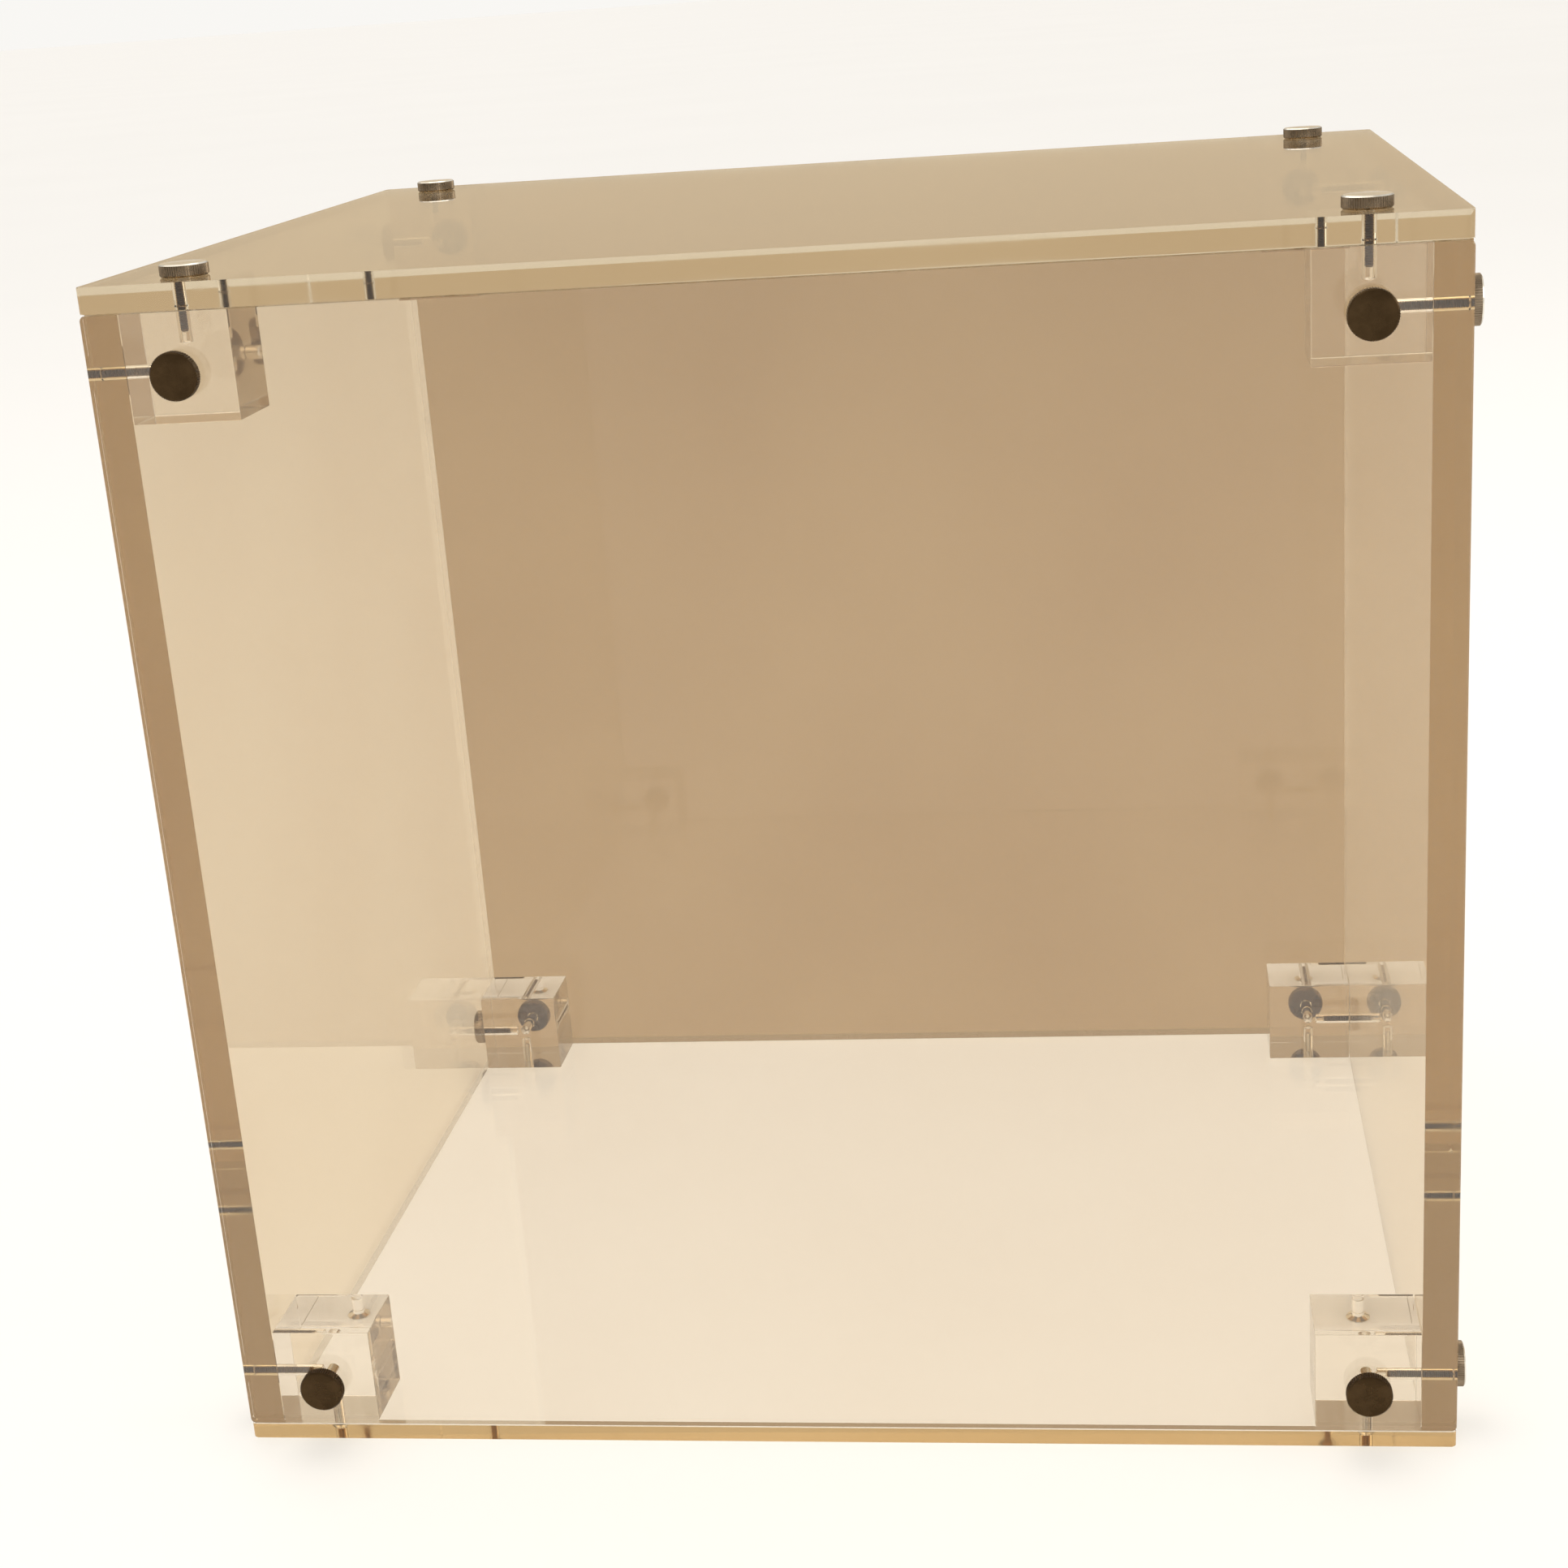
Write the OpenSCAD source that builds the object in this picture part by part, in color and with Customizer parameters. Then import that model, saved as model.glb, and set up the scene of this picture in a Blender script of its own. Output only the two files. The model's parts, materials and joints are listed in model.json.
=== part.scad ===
// Demountable clear acrylic tank: six flat panels screwed to eight corner blocks.
// X runs across the width, -Y is the front, +Z is up. The origin is the middle of the underside.

/* [Tank] */
// Outside width across the side walls
tank_w = 300; // [200:1:400]
// Outside depth from the front panel's face to the back panel's face
tank_d = 250; // [160:1:360]
// Outside height from the underside of the base to the top of the roof
tank_h = 290; // [180:1:400]
// Radius of the corners of the roof, base, front and back sheets
corner_r = 1; // [0.5:0.5:3]

/* [Sheets] */
// Thickness of the two side walls and the back panel
wall_t = 8; // [6:1:10]
// Thickness of the roof panel
roof_t = 6; // [4:1:8]
// Thickness of the base panel
base_t = 4; // [4:1:6]
// Thickness of the removable front panel
front_t = 3; // [3:1:5]
// Clearance above and below the removable front panel
front_clearance = 0.3; // [0.2:0.1:1]
// Film of air between pieces that are screwed together
film = 0.1; // [0.05:0.05:0.2]

/* [Corner blocks] */
// Size of a block across the tank
block_w = 25; // [24:1:30]
// Size of a block from front to back
block_d = 20; // [20:1:30]
// Height of a block
block_h = 25; // [24:1:30]
// How far the horizontal screws sit below a block's mid-height
screw_drop = 1.5; // [0:0.5:2]

/* [Thumb screws] */
// Thread diameter of every screw
thread_d = 3; // [2.5:0.5:3]
// Diameter of a thumb screw's head
head_d = 11; // [9:0.5:14]
// Thickness of a thumb screw's head
head_t = 3; // [2:0.5:4]
// Chamfer round both edges of the head
head_chamfer = 0.4; // [0.2:0.1:0.6]
// Length under the head of the roof and front screws
short_screw_l = 12; // [10:1:12]
// Length under the head of the side and back screws
long_screw_l = 16; // [14:1:16]

/* [Base screws] */
// Length of a countersunk base screw, head included
base_screw_l = 10; // [8:1:10]
// Diameter of the countersunk head
countersunk_d = 5.6; // [5:0.1:6]
// Size across the flats of the hexagon socket
socket_af = 2; // [1.5:0.5:2]

/* [Fits] */
// Radial clearance of a screw in a panel
panel_clearance = 0.1; // [0.05:0.01:0.2]
// Radial clearance of a screw in its tapped hole
tapped_clearance = 0.05; // [0.02:0.01:0.1]
// Drilled depth beyond the end of a screw
drill_extra = 2; // [1:0.5:2]

/* [Hidden] */

$fn = 48;
LEFT = -1;
RIGHT = 1;
FRONT = -1;
BACK = 1;
BOTTOM = -1;
TOP = 1;

acrylic = [0.84, 0.75, 0.58, 0.35];
acrylic_block = [0.90, 0.83, 0.68, 0.5];
nickel = [0.72, 0.70, 0.66];
dark_nickel = [0.13, 0.11, 0.09];

// Planes where the sheets and the blocks meet.
front_inner_y = -tank_d / 2 + front_t;
back_inner_y = tank_d / 2 - wall_t;
side_inner_x = tank_w / 2 - wall_t;
roof_under_z = tank_h - roof_t;

// Middle of each block, and the height of the screws that cross it level.
block_x = side_inner_x - film - block_w / 2;
front_block_y = front_inner_y + film + block_d / 2;
back_block_y = back_inner_y - film - block_d / 2;
bottom_block_z = base_t + film + block_h / 2;
top_block_z = roof_under_z - film - block_h / 2;

thread_r = thread_d / 2;
panel_hole_r = thread_r + panel_clearance;
tapped_r = thread_r + tapped_clearance;
tip_chamfer = 0.4;
countersunk_h = countersunk_d / 2 - thread_r;
head_recess = 0.1;
overrun = 1;

function block_y(end) = end == FRONT ? front_block_y : back_block_y;
function block_z(level) = level == TOP ? top_block_z : bottom_block_z;
function screw_z(level) = block_z(level) - screw_drop;

// Flat outline with round corners, centred on the origin.
module rounded_outline(w, d) {
    square([w - 2 * corner_r, d], center = true);
    square([w, d - 2 * corner_r], center = true);
    for (sx = [-1, 1], sy = [-1, 1])
        translate([sx * (w / 2 - corner_r), sy * (d / 2 - corner_r)])
            circle(r = corner_r);
}

// Lying sheet with its underside at z = 0.
module lying_sheet(w, d, t) {
    linear_extrude(t)
        rounded_outline(w, d);
}

// Upright sheet with its middle at the origin, facing along Y.
module upright_sheet(w, h, t) {
    rotate([90, 0, 0])
        translate([0, 0, -t / 2])
            linear_extrude(t)
                rounded_outline(w, h);
}

// Thumb screw: the head stands above z = 0 and the thread runs down to -length.
module thumb_screw(length) {
    head_r = head_d / 2;
    rotate_extrude()
        polygon([
            [0, film / 2],
            [0, film / 2 + head_t],
            [head_r - head_chamfer, film / 2 + head_t],
            [head_r, film / 2 + head_t - head_chamfer],
            [head_r, film / 2 + head_chamfer],
            [head_r - head_chamfer, film / 2],
            [thread_r, film / 2],
            [thread_r, -length + tip_chamfer],
            [thread_r - tip_chamfer, -length],
            [0, -length],
        ]);
}

// Countersunk screw: its face is just above z = 0 and the thread runs up.
module countersunk_screw() {
    head_r = countersunk_d / 2;
    socket_r = socket_af / 2 / cos(30);
    difference() {
        rotate_extrude()
            polygon([
                [0, head_recess],
                [head_r, head_recess],
                [thread_r, head_recess + countersunk_h],
                [thread_r, base_screw_l - tip_chamfer],
                [thread_r - tip_chamfer, base_screw_l],
                [0, base_screw_l],
            ]);
        translate([0, 0, -overrun])
            cylinder(r = socket_r, h = overrun + head_recess + socket_af / 2, $fn = 6);
    }
}

// Drilled hole from z = 0 down to -depth, with the drill's point at the bottom.
module drilled_hole(depth) {
    translate([0, 0, -depth])
        cylinder(r = tapped_r, h = depth + overrun);
    translate([0, 0, -depth - tapped_r / 2])
        cylinder(r1 = 0, r2 = tapped_r, h = tapped_r / 2);
}

// Puts its children on the outside of a side wall, so that +Z points outwards.
module on_side(side, end, level) {
    translate([side * tank_w / 2, block_y(end), screw_z(level)])
        rotate([0, side * 90, 0])
            children();
}

// Puts its children on the outside of the front or back panel, so that +Z points outwards.
module on_end(end, side, level) {
    translate([side * block_x, end * tank_d / 2, screw_z(level)])
        rotate([-end * 90, 0, 0])
            children();
}

// Puts its children on top of the roof.
module on_roof(end, side) {
    translate([side * block_x, block_y(end), tank_h])
        children();
}

// Clearance holes through a panel of thickness t, for use inside the placements above.
module panel_hole(t) {
    translate([0, 0, -t - overrun])
        cylinder(r = panel_hole_r, h = t + 2 * overrun);
}

module end_panel(end, t, trim) {
    panel_h = tank_h - roof_t - base_t - 2 * trim;
    color(acrylic)
        difference() {
            translate([0, end * (tank_d / 2 - t / 2), base_t + trim + panel_h / 2])
                upright_sheet(tank_w, panel_h, t);
            for (side = [LEFT, RIGHT], level = [BOTTOM, TOP])
                on_end(end, side, level)
                    panel_hole(t);
        }
}

module front_panel() {
    end_panel(FRONT, front_t, front_clearance);
}

module back_panel() {
    end_panel(BACK, wall_t, film);
}

module side_wall(side) {
    wall_d = back_inner_y - front_inner_y - 2 * film;
    wall_h = roof_under_z - base_t - 2 * film;
    color(acrylic)
        difference() {
            translate([side * (tank_w / 2 - wall_t / 2), (front_inner_y + back_inner_y) / 2, base_t + film + wall_h / 2])
                cube([wall_t, wall_d, wall_h], center = true);
            for (end = [FRONT, BACK], level = [BOTTOM, TOP])
                on_side(side, end, level)
                    panel_hole(wall_t);
        }
}

module roof_panel() {
    color(acrylic)
        difference() {
            translate([0, 0, roof_under_z])
                lying_sheet(tank_w, tank_d, roof_t);
            for (end = [FRONT, BACK], side = [LEFT, RIGHT])
                on_roof(end, side)
                    panel_hole(roof_t);
        }
}

module base_panel() {
    color(acrylic)
        difference() {
            lying_sheet(tank_w, tank_d, base_t);
            for (end = [FRONT, BACK], side = [LEFT, RIGHT])
                translate([side * block_x, block_y(end), 0]) {
                    translate([0, 0, -overrun])
                        cylinder(r = panel_hole_r, h = base_t + 2 * overrun);
                    translate([0, 0, -overrun])
                        cylinder(r = countersunk_d / 2 + panel_clearance, h = overrun + head_recess);
                    translate([0, 0, head_recess])
                        cylinder(r1 = countersunk_d / 2 + panel_clearance, r2 = panel_hole_r, h = countersunk_h);
                }
        }
}

// Corner block with a tapped hole in each of its three outer faces.
module corner_block(end, side, level) {
    end_t = end == FRONT ? front_t : wall_t;
    end_screw_l = end == FRONT ? short_screw_l : long_screw_l;
    lid_t = level == TOP ? roof_t : base_t;
    lid_screw_l = level == TOP ? short_screw_l : base_screw_l;
    color(acrylic_block)
        difference() {
            translate([side * block_x, block_y(end), block_z(level)])
                cube([block_w, block_d, block_h], center = true);
            on_side(side, end, level)
                drilled_hole(long_screw_l + drill_extra);
            on_end(end, side, level)
                drilled_hole(end_screw_l + drill_extra);
            translate([side * block_x, block_y(end), level == TOP ? tank_h : 0])
                rotate([level == TOP ? 0 : 180, 0, 0])
                    drilled_hole(lid_screw_l + drill_extra);
        }
}

module front_thumbscrew(side, level) {
    color(dark_nickel)
        on_end(FRONT, side, level)
            thumb_screw(short_screw_l);
}

module back_thumbscrew(side, level) {
    color(nickel)
        on_end(BACK, side, level)
            thumb_screw(long_screw_l);
}

module roof_thumbscrew(end, side) {
    color(nickel)
        on_roof(end, side)
            thumb_screw(short_screw_l);
}

module side_thumbscrew(side, end, level) {
    color(nickel)
        on_side(side, end, level)
            thumb_screw(long_screw_l);
}

module base_screws() {
    color(nickel)
        for (end = [FRONT, BACK], side = [LEFT, RIGHT])
            translate([side * block_x, block_y(end), 0])
                countersunk_screw();
}

front_panel();
back_panel();
side_wall(LEFT);  // left_wall
side_wall(RIGHT);  // right_wall
roof_panel();
base_panel();
corner_block(FRONT, LEFT, TOP);  // block_front_left_top
corner_block(FRONT, RIGHT, TOP);  // block_front_right_top
corner_block(BACK, LEFT, TOP);  // block_back_left_top
corner_block(BACK, RIGHT, TOP);  // block_back_right_top
corner_block(FRONT, LEFT, BOTTOM);  // block_front_left_bottom
corner_block(FRONT, RIGHT, BOTTOM);  // block_front_right_bottom
corner_block(BACK, LEFT, BOTTOM);  // block_back_left_bottom
corner_block(BACK, RIGHT, BOTTOM);  // block_back_right_bottom
front_thumbscrew(LEFT, TOP);  // front_thumbscrew_left_top
front_thumbscrew(RIGHT, TOP);  // front_thumbscrew_right_top
front_thumbscrew(LEFT, BOTTOM);  // front_thumbscrew_left_bottom
front_thumbscrew(RIGHT, BOTTOM);  // front_thumbscrew_right_bottom
back_thumbscrew(LEFT, TOP);  // back_thumbscrew_left_top
back_thumbscrew(RIGHT, TOP);  // back_thumbscrew_right_top
back_thumbscrew(LEFT, BOTTOM);  // back_thumbscrew_left_bottom
back_thumbscrew(RIGHT, BOTTOM);  // back_thumbscrew_right_bottom
roof_thumbscrew(FRONT, LEFT);  // roof_thumbscrew_front_left
roof_thumbscrew(FRONT, RIGHT);  // roof_thumbscrew_front_right
roof_thumbscrew(BACK, LEFT);  // roof_thumbscrew_back_left
roof_thumbscrew(BACK, RIGHT);  // roof_thumbscrew_back_right
side_thumbscrew(LEFT, FRONT, TOP);  // left_thumbscrew_front_top
side_thumbscrew(LEFT, BACK, TOP);  // left_thumbscrew_back_top
side_thumbscrew(LEFT, FRONT, BOTTOM);  // left_thumbscrew_front_bottom
side_thumbscrew(LEFT, BACK, BOTTOM);  // left_thumbscrew_back_bottom
side_thumbscrew(RIGHT, FRONT, TOP);  // right_thumbscrew_front_top
side_thumbscrew(RIGHT, BACK, TOP);  // right_thumbscrew_back_top
side_thumbscrew(RIGHT, FRONT, BOTTOM);  // right_thumbscrew_front_bottom
side_thumbscrew(RIGHT, BACK, BOTTOM);  // right_thumbscrew_back_bottom
base_screws();
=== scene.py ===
"""The looks of a demountable clear acrylic tank: six sheets, eight corner blocks and their screws.

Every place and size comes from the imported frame. Lengths are in metres.
"""

import json
import math

import bmesh
import bpy
from mathutils import Euler, Matrix, Vector

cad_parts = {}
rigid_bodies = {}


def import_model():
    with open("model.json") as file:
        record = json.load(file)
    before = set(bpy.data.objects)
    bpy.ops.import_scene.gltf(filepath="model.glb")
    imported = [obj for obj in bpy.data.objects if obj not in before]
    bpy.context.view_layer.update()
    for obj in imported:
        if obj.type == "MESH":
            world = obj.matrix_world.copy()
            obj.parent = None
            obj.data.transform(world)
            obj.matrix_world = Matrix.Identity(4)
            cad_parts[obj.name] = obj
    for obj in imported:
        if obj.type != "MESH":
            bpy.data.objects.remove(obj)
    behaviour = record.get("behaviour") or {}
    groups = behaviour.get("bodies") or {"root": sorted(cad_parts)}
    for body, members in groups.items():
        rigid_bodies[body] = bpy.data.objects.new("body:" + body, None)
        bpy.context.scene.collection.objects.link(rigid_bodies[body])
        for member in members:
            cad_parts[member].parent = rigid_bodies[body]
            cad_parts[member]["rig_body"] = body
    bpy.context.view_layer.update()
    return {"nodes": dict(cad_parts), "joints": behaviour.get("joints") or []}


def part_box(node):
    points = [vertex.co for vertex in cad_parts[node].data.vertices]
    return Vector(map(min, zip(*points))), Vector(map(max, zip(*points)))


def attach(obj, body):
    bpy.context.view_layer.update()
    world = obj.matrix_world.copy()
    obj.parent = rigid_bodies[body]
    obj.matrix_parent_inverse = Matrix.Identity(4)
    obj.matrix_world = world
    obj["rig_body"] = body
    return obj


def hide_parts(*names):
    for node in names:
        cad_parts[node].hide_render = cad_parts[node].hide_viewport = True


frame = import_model()

MM = 0.001

# ---------------------------------------------------------------- names of the parts

SHEETS = ["front_panel", "back_panel", "left_wall", "right_wall", "roof_panel", "base_panel"]
PLAIN_CORNER_SHEETS = ["left_wall", "right_wall"]
BLOCKS = sorted(name for name in frame["nodes"] if name.startswith("block_"))
THUMB_SCREWS = sorted(name for name in frame["nodes"] if "thumbscrew" in name)
TURNING = {joint["child"]: joint for joint in frame["joints"] if joint.get("continuous")}
BODY_OF = {node: obj["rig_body"] for node, obj in frame["nodes"].items()}

# ---------------------------------------------------------------- sizes that the frame doesn't give

SHEET_CORNER = 1 * MM
WALL_CORNER = 0.3 * MM
SHEET_BEVEL = 0.25 * MM
BLOCK_BEVEL = 0.35 * MM
DEBURR = 0.2 * MM
PANEL_HOLE = 1.6 * MM
TAPPED_HOLE = 1.55 * MM
DRILL_EXTRA = 2 * MM
OVERRUN = 1 * MM
THREAD_R = 1.5 * MM
THREAD_SLACK = 0.02 * MM
THREAD_DEPTH = 0.27 * MM
THREAD_PITCH = 0.5 * MM
THREAD_SEGMENTS = 24
THREAD_STEPS = 6
TIP_DOME = 0.35 * MM
TIP_TAPER = 0.25
DOME_RINGS = ((0.58, 0.45), (0.32, 0.12))
UNDERCUT_R = 1.3 * THREAD_R
HEAD_CHAMFER = 0.4 * MM
HEAD_CROWN = 0.08 * MM
KNURL_DEPTH = 0.16 * MM
KNURL_TEETH = 60
FACE_STEPS = 5
RIM_STEPS = 3
SOCKET_R = 1 * MM
SOCKET_DEPTH = 1 * MM
SOCKET_CONE = 0.3 * MM
SOCKET_SEGMENTS = 48
LINE_STEPS = 20
SOCKET_SHARP = 35
HEAD_SHARP = 28
SHEET_SHARP = 25
HEAD_CLEARANCE = 0.1 * MM
SCREW_EDGE = 0.1 * MM
HEAD_LIFT = 0.05 * MM
FLOOR_GAP = 0.2 * MM
FLOOR_HALF = 60
ACRYLIC_IOR = 1.49
INNER_BOUNCES = 96
SHADOW_BOUNCES = 40
LAMP_TINT = (0.992, 0.982, 0.965)
DOWN = Vector((0, 0, -1))


# ---------------------------------------------------------------- material helpers


class Nodes:
    """Short way to build one material's node tree."""

    def __init__(self, name):
        self.material = bpy.data.materials.new(name)
        self.material.use_nodes = True
        self.tree = self.material.node_tree
        self.tree.nodes.clear()
        self.out = self.tree.nodes.new("ShaderNodeOutputMaterial")

    def add(self, kind, **inputs):
        node = self.tree.nodes.new("ShaderNode" + kind)
        for key, value in inputs.items():
            socket = key.replace("_", " ")
            if isinstance(value, bpy.types.NodeSocket):
                self.tree.links.new(value, node.inputs[socket])
            elif socket in node.inputs:
                node.inputs[socket].default_value = value
            else:
                setattr(node, key, value)
        return node

    def place(self):
        """The surface point in the piece's own coordinates."""
        return self.add("TexCoord").outputs["Object"]

    def stretched(self, vector, scale):
        node = self.add("Mapping", Vector=vector)
        node.inputs["Scale"].default_value = scale
        return node.outputs["Vector"]

    def noise(self, vector, scale, detail=3.0, roughness=0.5):
        node = self.add("TexNoise", Vector=vector, Scale=scale, Detail=detail, Roughness=roughness)
        return node.outputs["Fac"]

    def remap(self, value, from_low, from_high, to_low, to_high):
        node = self.add("MapRange", Value=value)
        for key, number in zip(
            ("From Min", "From Max", "To Min", "To Max"), (from_low, from_high, to_low, to_high)
        ):
            node.inputs[key].default_value = number
        return node.outputs["Result"]

    def math(self, operation, a, b=0.0):
        node = self.tree.nodes.new("ShaderNodeMath")
        node.operation = operation
        for socket, value in zip(node.inputs, (a, b)):
            if isinstance(value, bpy.types.NodeSocket):
                self.tree.links.new(value, socket)
            else:
                socket.default_value = value
        return node.outputs["Value"]

    def blend(self, factor, low, high):
        node = self.tree.nodes.new("ShaderNodeMix")
        node.data_type = "RGBA"
        self.tree.links.new(factor, node.inputs["Factor"])
        node.inputs["A"].default_value = (*low, 1)
        node.inputs["B"].default_value = (*high, 1)
        return node.outputs["Result"]

    def see_through(self, shader, tint):
        """The shader for what the camera sees, and a plain tint for what lamps and soft light cross."""
        through = self.add("BsdfTransparent")
        through.inputs["Color"].default_value = (*tint, 1)
        path = self.add("LightPath")
        lit = self.math("MAXIMUM", path.outputs["Is Shadow Ray"], path.outputs["Is Diffuse Ray"])
        mix = self.tree.nodes.new("ShaderNodeMixShader")
        self.tree.links.new(lit, mix.inputs[0])
        self.tree.links.new(shader.outputs["BSDF"], mix.inputs[1])
        self.tree.links.new(through.outputs["BSDF"], mix.inputs[2])
        return mix.outputs["Shader"]

    def bump(self, height, strength, distance):
        return self.add("Bump", Height=height, Strength=strength, Distance=distance).outputs["Normal"]

    def surface(self, shader):
        self.tree.links.new(shader, self.out.inputs["Surface"])
        return self.material


def acrylic(name, pale, deep, low_rough, high_rough, wave):
    """Clear acrylic that lamps shine through. Tint, smears and fine scratches vary over the surface."""
    n = Nodes(name)
    at = n.place()
    tint = n.blend(n.remap(n.noise(at, 9.0, 2.0), 0.3, 0.7, 0.0, 1.0), pale, deep)
    smears = n.remap(n.noise(n.stretched(at, (1.0, 1.0, 2.4)), 22.0, 4.0, 0.6), 0.5, 0.75, 0.0, 1.0)
    scratches = n.remap(n.noise(n.stretched(at, (700.0, 30.0, 45.0)), 1.0, 2.0), 0.72, 0.82, 0.0, 1.0)
    marks = n.math("MAXIMUM", smears, scratches)
    rough = n.remap(marks, 0.0, 1.0, low_rough, high_rough)
    waviness = n.noise(at, 14.0, 1.0)
    normal = n.bump(waviness, 0.35, wave)
    shader = n.add("BsdfPrincipled", Base_Color=tint, Roughness=rough, Normal=normal)
    shader.inputs["IOR"].default_value = ACRYLIC_IOR
    shader.inputs["Transmission Weight"].default_value = 1.0
    return n.surface(n.see_through(shader, LAMP_TINT))


def plated(name, bright, dull, low_rough, high_rough):
    """Plated turned metal with fine grain and slight tarnish."""
    n = Nodes(name)
    at = n.place()
    tarnish = n.remap(n.noise(at, 160.0, 4.0, 0.6), 0.35, 0.7, 0.0, 1.0)
    colour = n.blend(tarnish, bright, dull)
    grain = n.noise(at, 2600.0, 3.0)
    wear = n.math("ADD", n.math("MULTIPLY", tarnish, 0.6), n.math("MULTIPLY", grain, 0.4))
    rough = n.remap(wear, 0.1, 0.9, low_rough, high_rough)
    normal = n.bump(grain, 0.25, 0.01 * MM)
    shader = n.add("BsdfPrincipled", Base_Color=colour, Roughness=rough, Normal=normal)
    shader.inputs["Metallic"].default_value = 1.0
    return n.surface(shader.outputs["BSDF"])


# ---------------------------------------------------------------- mesh helpers


def thin_axis(low, high):
    size = high - low
    return min(range(3), key=lambda k: size[k])


def turned_to(axis):
    """Matrix that turns +Z to the given direction."""
    return Vector(axis).to_track_quat("Z", "Y").to_matrix().to_4x4()


def new_object(name, bm):
    mesh = bpy.data.meshes.new(name)
    bm.to_mesh(mesh)
    bm.free()
    obj = bpy.data.objects.new(name, mesh)
    bpy.context.scene.collection.objects.link(obj)
    return obj


def rounded_outline(half_w, half_h, radius, steps=6):
    """Points round a rectangle with round corners, anticlockwise."""
    points = []
    for corner, (sx, sy) in enumerate(((1, 1), (-1, 1), (-1, -1), (1, -1))):
        for k in range(steps + 1):
            angle = math.radians(90 * (corner + k / steps))
            points.append(
                (
                    sx * (half_w - radius) + radius * math.cos(angle),
                    sy * (half_h - radius) + radius * math.sin(angle),
                )
            )
    return points


def prism(outline, thickness):
    """Upright prism through the outline, centred on z = 0."""
    bm = bmesh.new()
    lower = [bm.verts.new((x, y, -thickness / 2)) for x, y in outline]
    upper = [bm.verts.new((x, y, thickness / 2)) for x, y in outline]
    bm.faces.new(reversed(lower))
    bm.faces.new(upper)
    for k in range(len(outline)):
        j = (k + 1) % len(outline)
        bm.faces.new((lower[k], lower[j], upper[j], upper[k]))
    return bm


def bevel_rims(bm, thickness, width):
    rims = [e for e in bm.edges if abs(e.verts[0].co.z - e.verts[1].co.z) < thickness / 10]
    bmesh.ops.bevel(bm, geom=rims, offset=width, segments=2, profile=0.6, affect="EDGES", clamp_overlap=True)


def ring(bm, count, height, radius):
    """Ring of points round Z. The radius is a number, or a function of the point's number."""
    verts = []
    for k in range(count):
        r = radius(k) if callable(radius) else radius
        angle = 2 * math.pi * k / count
        verts.append(bm.verts.new((r * math.cos(angle), r * math.sin(angle), height)))
    return verts


def point(bm, height):
    return ring(bm, 1, height, 0)


def skin(bm, rings):
    """Faces between rings in turn. Of two neighbours, one has a whole multiple of the other's points."""
    for small, big in zip(rings, rings[1:]):
        if len(small) > len(big):
            small, big = big, small
        share = len(big) // len(small)
        for k, near in enumerate(small):
            far = small[(k + 1) % len(small)]
            run = [big[(share * k + i) % len(big)] for i in range(share + 1)]
            if share == 1:
                bm.faces.new((near, run[0], run[1], far))
                continue
            for one, other in zip(run, run[1:]):
                bm.faces.new((near, one, other))
            if far is not near:
                bm.faces.new((near, run[-1], far))
    bmesh.ops.recalc_face_normals(bm, faces=bm.faces)


def lathe(profile, segments=48):
    """Solid turned from (radius, height) points that start and end on the axis."""
    bm = bmesh.new()
    skin(bm, [ring(bm, segments if radius else 1, height, radius) for radius, height in profile])
    return bm


def cut(piece, cutters):
    """Takes the cutters out of the piece and throws them away."""
    for cutter in cutters:
        modifier = piece.modifiers.new("cut", "BOOLEAN")
        modifier.object = cutter
        modifier.solver = "EXACT"
    done = piece.evaluated_get(bpy.context.evaluated_depsgraph_get())
    mesh = bpy.data.meshes.new_from_object(done)
    piece.modifiers.clear()
    piece.data = mesh
    mesh.name = piece.name
    for cutter in cutters:
        bpy.data.objects.remove(cutter)


def smooth(piece, sharp_degrees):
    """Smooth shading that keeps large flats flat and edges over the given angle sharp."""
    mesh = piece.data
    mesh.polygons.foreach_set("use_smooth", [True] * len(mesh.polygons))
    mesh.set_sharp_from_angle(angle=math.radians(sharp_degrees))
    weights = piece.modifiers.new("flat faces", "WEIGHTED_NORMAL")
    weights.keep_sharp = True
    weights.weight = 100


# ---------------------------------------------------------------- holes


def screw_places():
    """Each thumb screw's seat on the sheet, the way it points out, and its length below the head."""
    places = {}
    for node in THUMB_SCREWS:
        joint = TURNING[node]
        seat, out = Vector(joint["pos_m"]), Vector(joint["axis"])
        low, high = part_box(node)
        tip = min((low - seat).dot(out), (high - seat).dot(out))
        places[node] = (seat, out, -tip)
    return places


SCREWS = screw_places()


def base_screw_places():
    """Seats of the base screws: under the middle of each bottom block."""
    seats = []
    for node in BLOCKS:
        if node.endswith("_bottom"):
            low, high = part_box(node)
            middle = (low + high) / 2
            seats.append(Vector((middle.x, middle.y, 0)))
    return seats


def line_hits(seat, out, depth, low, high):
    """True if the line from the seat inwards passes through the box."""
    for k in range(LINE_STEPS + 1):
        place = seat - out * depth * k / LINE_STEPS
        if all(low[a] < place[a] < high[a] for a in range(3)):
            return True
    return False


def hole_cutter(profile, seat, out):
    """The hole's shape as an object, laid from the seat the way its screw points out."""
    bm = lathe(profile)
    bm.transform(Matrix.Translation(seat) @ turned_to(out))
    return new_object("cutter", bm)


def panel_hole(thickness):
    """Clearance hole through a sheet whose face is at z = 0, with both mouths deburred."""
    mouth = PANEL_HOLE + DEBURR + OVERRUN
    return [
        (0, -thickness - OVERRUN),
        (mouth, -thickness - OVERRUN),
        (PANEL_HOLE, -thickness + DEBURR),
        (PANEL_HOLE, -DEBURR),
        (mouth, OVERRUN),
        (0, OVERRUN),
    ]


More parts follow.
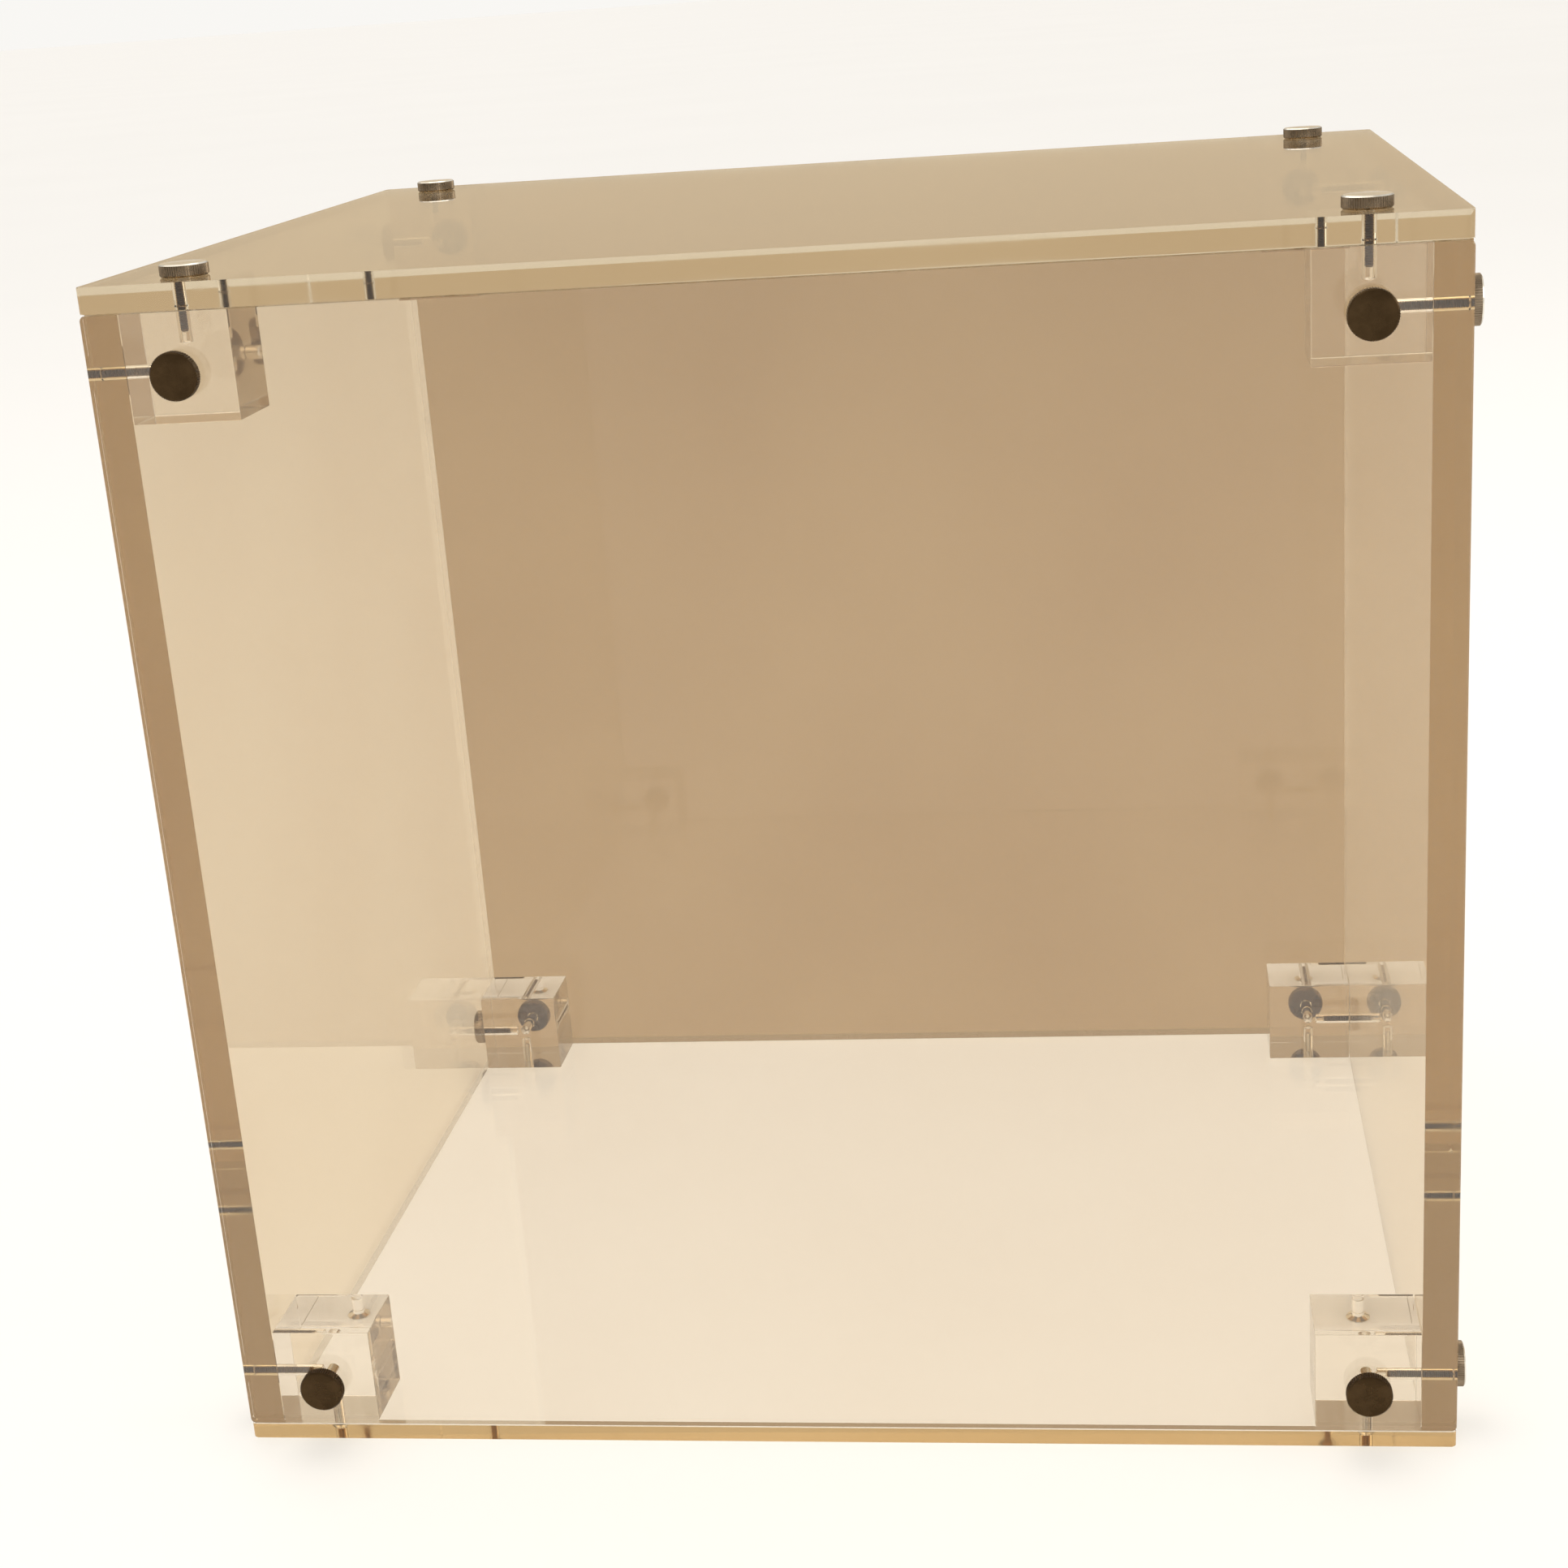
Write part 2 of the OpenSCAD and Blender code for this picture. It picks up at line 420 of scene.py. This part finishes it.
def countersunk_hole(thickness, head_r, head_h):
    """Hole through a sheet whose face is at z = 0, with a cone for a countersunk head."""
    return [
        (0, -thickness - OVERRUN),
        (PANEL_HOLE, -thickness - OVERRUN),
        (PANEL_HOLE, -head_h),
        (head_r, -SCREW_EDGE),
        (head_r, OVERRUN),
        (0, OVERRUN),
    ]


def tapped_hole(depth):
    """Blind hole from z = 0 with the drill's point at the bottom."""
    return [
        (0, -depth - TAPPED_HOLE / 2),
        (TAPPED_HOLE, -depth),
        (TAPPED_HOLE, OVERRUN),
        (0, OVERRUN),
    ]


# ---------------------------------------------------------------- pieces


def finish_piece(piece, node):
    """Ties the piece to its body and hides the CAD node that it stands for."""
    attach(piece, BODY_OF[node])
    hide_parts(node)


def make_sheet(node, materials):
    """A bevelled sheet with its screw holes, and one material for its faces and one for its edges."""
    low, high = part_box(node)
    k = thin_axis(low, high)
    size, middle = high - low, (low + high) / 2
    turn = turned_to([1 if a == k else 0 for a in range(3)])
    across = turn.inverted() @ size
    corner = WALL_CORNER if node in PLAIN_CORNER_SHEETS else SHEET_CORNER
    bm = prism(rounded_outline(abs(across.x) / 2, abs(across.y) / 2, corner), size[k])
    bevel_rims(bm, size[k], SHEET_BEVEL)
    bm.transform(Matrix.Translation(middle) @ turn)
    piece = new_object(node + "_sheet", bm)
    cutters = [
        hole_cutter(panel_hole(size[k]), seat, out)
        for seat, out, depth in SCREWS.values()
        if line_hits(seat, out, depth, low, high)
    ]
    if node == "base_panel":
        head_r, head_h = base_screw_head()
        profile = countersunk_hole(size[k], head_r + HEAD_CLEARANCE, head_h + HEAD_CLEARANCE)
        cutters += [hole_cutter(profile, seat, DOWN) for seat in base_screw_places()]
    cut(piece, cutters)
    for material in materials:
        piece.data.materials.append(material)
    for face in piece.data.polygons:
        on_flat = abs(face.normal[k]) > 0.9
        face.material_index = 0 if on_flat else 1
    smooth(piece, SHEET_SHARP)
    finish_piece(piece, node)


def make_block(node, polished, sawn):
    """A bevelled corner block with its tapped holes. The two faces across X are sawn."""
    low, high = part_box(node)
    size, middle = high - low, (low + high) / 2
    bm = bmesh.new()
    bmesh.ops.create_cube(bm, size=1)
    bmesh.ops.scale(bm, vec=size, verts=bm.verts)
    bmesh.ops.bevel(bm, geom=bm.edges, offset=BLOCK_BEVEL, segments=2, profile=0.6, affect="EDGES")
    bm.transform(Matrix.Translation(middle))
    piece = new_object(node + "_clear", bm)
    cutters = [
        hole_cutter(tapped_hole(depth + DRILL_EXTRA), seat, out)
        for seat, out, depth in SCREWS.values()
        if line_hits(seat, out, depth, low, high)
    ]
    base_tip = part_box("base_screws")[1].z
    cutters += [
        hole_cutter(tapped_hole(base_tip + DRILL_EXTRA), seat, DOWN)
        for seat in base_screw_places()
        if line_hits(seat, DOWN, base_tip, low, high)
    ]
    cut(piece, cutters)
    piece.data.materials.append(polished)
    piece.data.materials.append(sawn)
    for face in piece.data.polygons:
        outside = min(face.center.x - low.x, high.x - face.center.x) < BLOCK_BEVEL / 2
        face.material_index = 1 if outside and abs(face.normal.x) > 0.9 else 0
    smooth(piece, SHEET_SHARP)
    finish_piece(piece, node)


def thread_radius(z, k, runout, taper):
    """Radius of a right-hand thread at one height and one of the points round it."""
    turn = (z / THREAD_PITCH - k / THREAD_SEGMENTS) % 1
    flank = abs(2 * turn - 1)
    return (THREAD_R - THREAD_SLACK - THREAD_DEPTH * flank * runout) * (1 - TIP_TAPER * (1 - taper))


def thread_rings(bm, start, end):
    """Rings of a threaded shank, from its run-out under the head to a point on its domed tip."""
    way = 1 if end > start else -1
    last = end - way * TIP_DOME
    count = round(abs(last - start) / THREAD_PITCH * THREAD_STEPS)
    rings = []
    for i in range(count + 1):
        z = start + (last - start) * i / count
        runout = min(1, abs(z - start) / THREAD_PITCH)
        taper = min(1, abs(z - last) / THREAD_DEPTH)
        rings.append(ring(bm, THREAD_SEGMENTS, z, lambda k: thread_radius(z, k, runout, taper)))
    for radius, left in DOME_RINGS:
        rings.append(ring(bm, THREAD_SEGMENTS, end - way * TIP_DOME * left, THREAD_R * radius))
    return rings + [point(bm, end)]


def thumb_screw_mesh(name, head_r, head_low, head_high, length):
    """Turned head with a knurled rim over a threaded shank, as one closed skin. Its seat is at z = 0."""
    bm = bmesh.new()
    count = 2 * KNURL_TEETH
    plain = head_r - HEAD_CHAMFER
    rings = [point(bm, head_high)]
    for step in range(1, FACE_STEPS + 1):
        share = step / FACE_STEPS
        rings.append(ring(bm, count, head_high - HEAD_CROWN * share**2, plain * share))
    top, bottom = head_high - HEAD_CHAMFER, head_low + HEAD_CHAMFER
    for step in range(RIM_STEPS + 1):
        height = top + (bottom - top) * step / RIM_STEPS
        rings.append(ring(bm, count, height, lambda k: head_r - KNURL_DEPTH * (k % 2)))
    rings.append(ring(bm, count, head_low, plain))
    rings.append(ring(bm, count, head_low, UNDERCUT_R))
    skin(bm, rings + thread_rings(bm, head_low, -length))
    mesh = bpy.data.meshes.new(name)
    bm.to_mesh(mesh)
    bm.free()
    return mesh


def screw_material(face, length):
    """0 for the polished face and tip, 1 for the thread, 2 for the rim and the head's underside, darkened by
    painted shade.
    """
    if face.center.z < -length + TIP_DOME:
        return 0
    if face.center.z < 0:
        return 1
    return 0 if face.normal.z > 0.5 else 2


def base_screw_head():
    """Radius of a countersunk head and how far it reaches up from the base's underside."""
    low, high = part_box("base_screws")
    seats = base_screw_places()
    head_r = min(seat.x for seat in seats) - low.x
    return head_r, low.z + head_r - THREAD_R


def hexagon(k):
    """Radius of the hexagon socket at one of the points round it."""
    angle = math.radians(360 * k / SOCKET_SEGMENTS + 30) % math.radians(60) - math.radians(30)
    return SOCKET_R / math.cos(angle)


def make_base_screws(material):
    """Four countersunk screws with hexagon sockets, as one piece of four solids."""
    low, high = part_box("base_screws")
    head_r, head_h = base_screw_head()
    one = bmesh.new()
    rings = [
        point(one, low.z + SOCKET_DEPTH + SOCKET_CONE),
        ring(one, SOCKET_SEGMENTS, low.z + SOCKET_DEPTH, hexagon),
        ring(one, SOCKET_SEGMENTS, low.z, hexagon),
        ring(one, SOCKET_SEGMENTS, low.z, head_r - SCREW_EDGE),
        ring(one, SOCKET_SEGMENTS, low.z + SCREW_EDGE, head_r),
    ]
    skin(one, rings + thread_rings(one, head_h, high.z))
    screw = bpy.data.meshes.new("base_screw")
    one.to_mesh(screw)
    one.free()
    whole = bmesh.new()
    for seat in base_screw_places():
        start = len(whole.verts)
        whole.from_mesh(screw)
        whole.verts.ensure_lookup_table()
        bmesh.ops.translate(whole, verts=whole.verts[start:], vec=seat)
    piece = new_object("base_screws_threaded", whole)
    piece.data.materials.append(material)
    smooth(piece, SOCKET_SHARP)
    finish_piece(piece, "base_screws")


def make_thumb_screws(nickel, rim_in_painted_shade, dark_nickel, thread_steel):
    """All thumb screws. Screws of one length and colouring share a mesh. The dark colour of the front screws
    is a painted reflection.
    """
    meshes = {}
    for node, (seat, out, length) in SCREWS.items():
        low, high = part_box(node)
        across = sorted(high - low)
        head_r = across[0] / 2
        head_high = max((low - seat).dot(out), (high - seat).dot(out))
        # Front screws get the dark colour: a painted dark reflection on heads of the same polished nickel as
        # the rest.
        dark = node.startswith("front_")
        key = (round(length, 5), dark)
        if key not in meshes:
            name = "thumb_screw_{:.0f}_mm{}".format(length / MM, "_dark" if dark else "")
            meshes[key] = thumb_screw_mesh(name, head_r, HEAD_LIFT, head_high, length)
            meshes[key].materials.append(dark_nickel if dark else nickel)
            meshes[key].materials.append(thread_steel)
            meshes[key].materials.append(dark_nickel if dark else rim_in_painted_shade)
            for face in meshes[key].polygons:
                face.material_index = screw_material(face, length)
        piece = bpy.data.objects.new(node + "_knurled", meshes[key])
        bpy.context.scene.collection.objects.link(piece)
        piece.matrix_world = Matrix.Translation(seat) @ turned_to(out)
        smooth(piece, HEAD_SHARP)
        finish_piece(piece, node)


# ---------------------------------------------------------------- stage, light and camera


def make_floor():
    n = Nodes("pale_floor")
    at = n.place()
    clouds = n.remap(n.noise(at, 1.4, 4.0), 0.3, 0.7, 0.0, 1.0)
    colour = n.blend(clouds, (0.873, 0.865, 0.85), (0.886, 0.878, 0.863))
    shader = n.add("BsdfPrincipled", Base_Color=colour, Roughness=0.6)
    n.surface(shader.outputs["BSDF"])
    bm = bmesh.new()
    bmesh.ops.create_grid(bm, x_segments=8, y_segments=8, size=FLOOR_HALF)
    floor = new_object("floor", bm)
    floor.location.z = -FLOOR_GAP
    floor.data.materials.append(n.material)


def area_light(name, at, towards, size, power, colour):
    light = bpy.data.lights.new(name, "AREA")
    light.shape = "RECTANGLE"
    light.size, light.size_y = size
    light.energy = power
    light.color = colour
    obj = bpy.data.objects.new(name, light)
    obj.location = at
    obj.rotation_euler = (Vector(towards) - Vector(at)).to_track_quat("-Z", "Y").to_euler()
    bpy.context.scene.collection.objects.link(obj)


def make_world():
    """A pale studio. Behind the tank, a warm band lies just above the horizon."""
    world = bpy.data.worlds.new("studio")
    bpy.context.scene.world = world
    world.use_nodes = True
    tree = world.node_tree
    background = tree.nodes["Background"]
    coords = tree.nodes.new("ShaderNodeTexCoord")
    split = tree.nodes.new("ShaderNodeSeparateXYZ")
    tree.links.new(coords.outputs["Generated"], split.inputs[0])
    height = tree.nodes.new("ShaderNodeValToRGB")
    tree.links.new(split.outputs["Z"], height.inputs["Fac"])
    stops = [
        (0.0, (0.945, 0.93, 0.90)),
        (0.025, (0.945, 0.93, 0.90)),
        (0.055, (0.69, 0.56, 0.39)),
        (0.15, (0.69, 0.57, 0.41)),
        (0.40, (0.90, 0.88, 0.84)),
        (1.0, (0.95, 0.94, 0.92)),
    ]
    ramp = height.color_ramp
    ramp.elements[0].position, ramp.elements[0].color = stops[0][0], (*stops[0][1], 1)
    ramp.elements[1].position, ramp.elements[1].color = stops[-1][0], (*stops[-1][1], 1)
    for position, colour in stops[1:-1]:
        ramp.elements.new(position).color = (*colour, 1)
    front = tree.nodes.new("ShaderNodeMapRange")
    front.interpolation_type = "SMOOTHSTEP"
    tree.links.new(split.outputs["Y"], front.inputs["Value"])
    front.inputs["From Min"].default_value = 0.1
    front.inputs["From Max"].default_value = 0.7
    mix = tree.nodes.new("ShaderNodeMix")
    mix.data_type = "RGBA"
    tree.links.new(front.outputs["Result"], mix.inputs["Factor"])
    mix.inputs["A"].default_value = (0.84, 0.82, 0.79, 1)
    tree.links.new(height.outputs["Color"], mix.inputs["B"])
    tree.links.new(mix.outputs["Result"], background.inputs["Color"])
    background.inputs["Strength"].default_value = 1.0


def make_light():
    """Soft studio light: a broad soft key from above, and softboxes over and beside the tank."""
    make_world()
    key = bpy.data.lights.new("soft_key", "SUN")
    key.energy = 0.75
    key.angle = math.radians(70)
    key.color = (1.0, 0.985, 0.96)
    key_obj = bpy.data.objects.new("soft_key", key)
    key_obj.rotation_euler = Euler((math.radians(-18), math.radians(-14), 0))
    bpy.context.scene.collection.objects.link(key_obj)
    area_light("overhead_softbox", (-0.1, 0.5, 1.9), (0, 0, 0), (1.6, 1.2), 6, (1.0, 0.98, 0.95))
    area_light("right_softbox", (1.7, 0.2, 0.8), (0, 0, 0.15), (0.7, 1.0), 4, (1.0, 0.96, 0.9))


CAMERA_AT = (0.0823, -0.6695, 0.3435)
CAMERA_DOWN = 18.56
CAMERA_LEFT = 8.31
CAMERA_ROLL = -4.09
CAMERA_LENS = 58.5
CAMERA_SHIFT = (-0.0124, 0.0331)


def make_camera():
    camera = bpy.data.cameras.new("camera")
    camera.lens = CAMERA_LENS
    camera.sensor_width = 36
    camera.shift_x, camera.shift_y = CAMERA_SHIFT
    camera.clip_start = 0.01
    obj = bpy.data.objects.new("camera", camera)
    obj.location = CAMERA_AT
    aim = Matrix.Rotation(math.radians(CAMERA_LEFT), 3, "Z") @ Matrix.Rotation(
        math.radians(90 - CAMERA_DOWN), 3, "X"
    )
    obj.rotation_euler = (aim @ Matrix.Rotation(math.radians(CAMERA_ROLL), 3, "Z")).to_euler()
    bpy.context.scene.collection.objects.link(obj)
    bpy.context.scene.camera = obj


def make_view():
    """Plain colours, and light paths long enough for total reflection to and fro inside the sheets' edges."""
    scene = bpy.context.scene
    scene.view_settings.view_transform = "Standard"
    scene.cycles.max_bounces = INNER_BOUNCES
    scene.cycles.transmission_bounces = INNER_BOUNCES
    scene.cycles.glossy_bounces = INNER_BOUNCES
    scene.cycles.transparent_max_bounces = SHADOW_BOUNCES
    scene.cycles.caustics_reflective = False
    scene.cycles.caustics_refractive = False


# ---------------------------------------------------------------- build

thin_acrylic = acrylic("thin_acrylic", (0.965, 0.93, 0.875), (0.95, 0.91, 0.85), 0.0, 0.03, 0.012 * MM)
# Painted light: the amber tints of the walls, roof and back, deepest on the back, stand in for warm
# surroundings seen through clear sheets.
wall_acrylic_painted_light = acrylic("wall_acrylic_painted_light", (0.81, 0.70, 0.53), (0.78, 0.66, 0.49), 0.0, 0.03, 0.012 * MM)
back_acrylic_painted_light = acrylic("back_acrylic_painted_light", (0.455, 0.318, 0.172), (0.417, 0.284, 0.152), 0.0, 0.03, 0.012 * MM)
roof_acrylic_painted_light = acrylic("roof_acrylic_painted_light", (0.76, 0.655, 0.485), (0.72, 0.615, 0.445), 0.0, 0.03, 0.012 * MM)
# Edge faces: their higher roughness is the cut finish. Their deep amber and orange tints are painted light,
# for the warm surroundings seen along the sheets.
wall_edge_painted_light = acrylic("wall_edge_painted_light", (0.77, 0.645, 0.41), (0.72, 0.585, 0.36), 0.03, 0.14, 0.03 * MM)
roof_edge_painted_light = acrylic("roof_edge_painted_light", (0.74, 0.63, 0.45), (0.69, 0.57, 0.39), 0.02, 0.10, 0.02 * MM)
base_edge_painted_light = acrylic("base_edge_painted_light", (0.65, 0.43, 0.19), (0.57, 0.36, 0.145), 0.03, 0.14, 0.03 * MM)
block_acrylic = acrylic("block_acrylic", (0.985, 0.965, 0.93), (0.975, 0.95, 0.90), 0.0, 0.03, 0.006 * MM)
# Sawn block faces: rougher for the saw cut, and darker by painted shade so that the faces seen edge-on read
# as dark lines.
sawn_acrylic_painted_shade = acrylic("sawn_acrylic_painted_shade", (0.66, 0.56, 0.42), (0.56, 0.46, 0.33), 0.06, 0.22, 0.02 * MM)
nickel = plated("nickel", (0.80, 0.76, 0.67), (0.62, 0.56, 0.46), 0.08, 0.22)
# Painted shade: the dark brown of the knurled rims and of the heads' undersides stands in for shade on the
# polished metal.
rim_in_painted_shade = plated("rim_in_painted_shade", (0.30, 0.235, 0.165), (0.15, 0.11, 0.07), 0.16, 0.36)
# Painted reflection: the front screw heads are coloured near-black in place of the dark surroundings that
# their polished faces would mirror.
dark_nickel = plated("dark_nickel", (0.07, 0.043, 0.02), (0.042, 0.025, 0.011), 0.20, 0.36)
thread_steel = plated("thread_steel", (0.20, 0.125, 0.055), (0.10, 0.06, 0.024), 0.22, 0.42)

SHEET_LOOKS = {
    "front_panel": (thin_acrylic, roof_edge_painted_light),
    "base_panel": (thin_acrylic, base_edge_painted_light),
    "roof_panel": (roof_acrylic_painted_light, roof_edge_painted_light),
    "left_wall": (wall_acrylic_painted_light, wall_edge_painted_light),
    "right_wall": (wall_acrylic_painted_light, wall_edge_painted_light),
    "back_panel": (back_acrylic_painted_light, wall_edge_painted_light),
}

for sheet in SHEETS:
    make_sheet(sheet, SHEET_LOOKS[sheet])
for block in BLOCKS:
    make_block(block, block_acrylic, sawn_acrylic_painted_shade)
make_thumb_screws(nickel, rim_in_painted_shade, dark_nickel, thread_steel)
make_base_screws(nickel)

make_floor()
make_light()
make_camera()
make_view()
